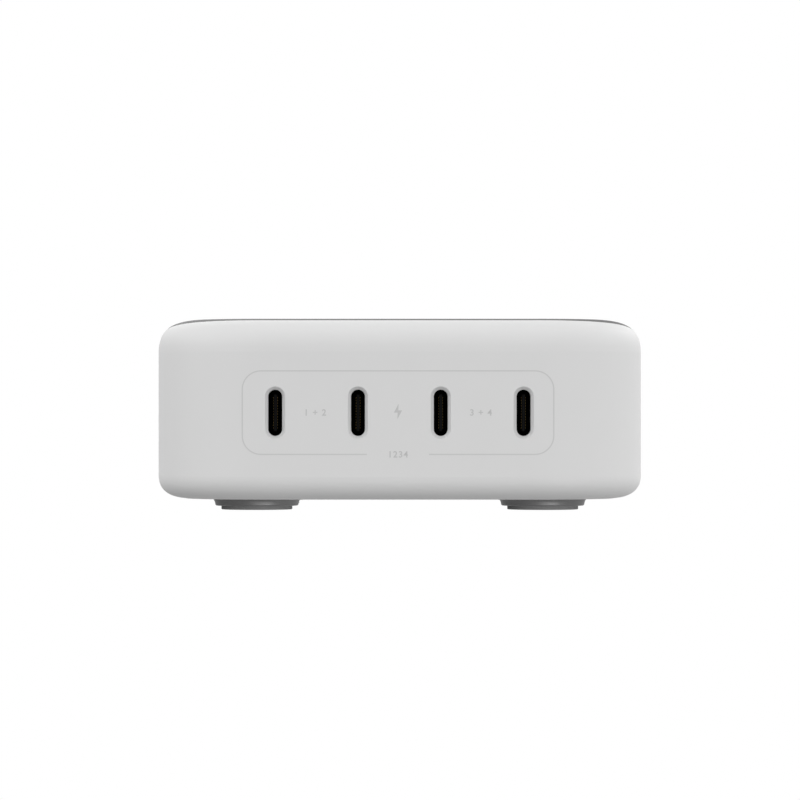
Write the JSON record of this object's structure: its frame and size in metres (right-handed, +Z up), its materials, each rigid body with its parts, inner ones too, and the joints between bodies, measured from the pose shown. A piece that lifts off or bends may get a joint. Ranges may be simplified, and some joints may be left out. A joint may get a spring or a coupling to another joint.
{
  "type": "multi port usb desktop charger",
  "caption": "low rounded desktop charger with a row of upright USB-C sockets in front, a dark top plate, stepped round feet and a mains inlet behind",
  "frame": {"origin": "on the table, under the middle of the body", "axes": "+Z up, sockets face -Y, +X to the right seen from the front"},
  "size_m": [0.0896, 0.098, 0.0352],
  "materials": {
    "body_plastic": "light grey moulded plastic, fine satin texture",
    "top_plastic": "charcoal moulded plastic, fine matt texture",
    "foot_plastic": "dark grey satin plastic",
    "foot_rubber": "dark matt rubber",
    "port_metal": "blackened steel shell",
    "port_plastic": "black moulded plastic",
    "inlet_plastic": "black moulded plastic",
    "pin_metal": "bright plated metal",
    "screw_steel": "dark plated steel",
    "board": "green circuit board",
    "sheet_plastic": "pale insulating film",
    "chip_plastic": "black chip resin",
    "ferrite": "dark grey ferrite",
    "copper": "lacquered copper wire",
    "bobbin_plastic": "yellow moulded plastic",
    "can_sleeve": "black shrunk sleeve",
    "can_metal": "plain aluminium can",
    "sink_metal": "plain aluminium",
    "pad_silicone": "soft grey-blue silicone",
    "disc_coating": "blue resin coating"
  },
  "bodies": {
    "root": {"housing": "body_plastic", "bottom_cover": "body_plastic", "top_plate": "top_plastic", "foot_cup_front_left": "foot_plastic", "foot_cup_front_right": "foot_plastic", "foot_cup_rear_left": "foot_plastic", "foot_cup_rear_right": "foot_plastic", "foot_pad_front_left": "foot_rubber", "foot_pad_front_right": "foot_rubber", "foot_pad_rear_left": "foot_rubber", "foot_pad_rear_right": "foot_rubber", "port_shell_1": "port_metal", "port_shell_2": "port_metal", "port_shell_3": "port_metal", "port_shell_4": "port_metal", "port_insert_1": "port_plastic", "port_insert_2": "port_plastic", "port_insert_3": "port_plastic", "port_insert_4": "port_plastic", "inlet_body": "inlet_plastic", "inlet_pins": "pin_metal", "cover_screws": "screw_steel", "main_board": "board", "port_board_1": "board", "port_board_2": "board", "port_board_3": "board", "port_board_4": "board", "insulation_sheet": "sheet_plastic", "port_chips": "chip_plastic", "power_switches": "chip_plastic", "bridge_rectifier": "chip_plastic", "port_coils": "ferrite", "transformer_core": "ferrite", "boost_core": "ferrite", "choke_core": "ferrite", "transformer_winding": "copper", "boost_winding": "copper", "choke_winding": "copper", "transformer_bobbin": "bobbin_plastic", "filter_capacitor": "bobbin_plastic", "fuse": "bobbin_plastic", "storage_capacitor_1": "can_sleeve", "storage_capacitor_2": "can_sleeve", "output_capacitors": "can_metal", "heat_spreader": "sink_metal", "rectifier_heat_sink": "sink_metal", "thermal_pad": "pad_silicone", "surge_disc": "disc_coating"}
  },
  "joints": []
}
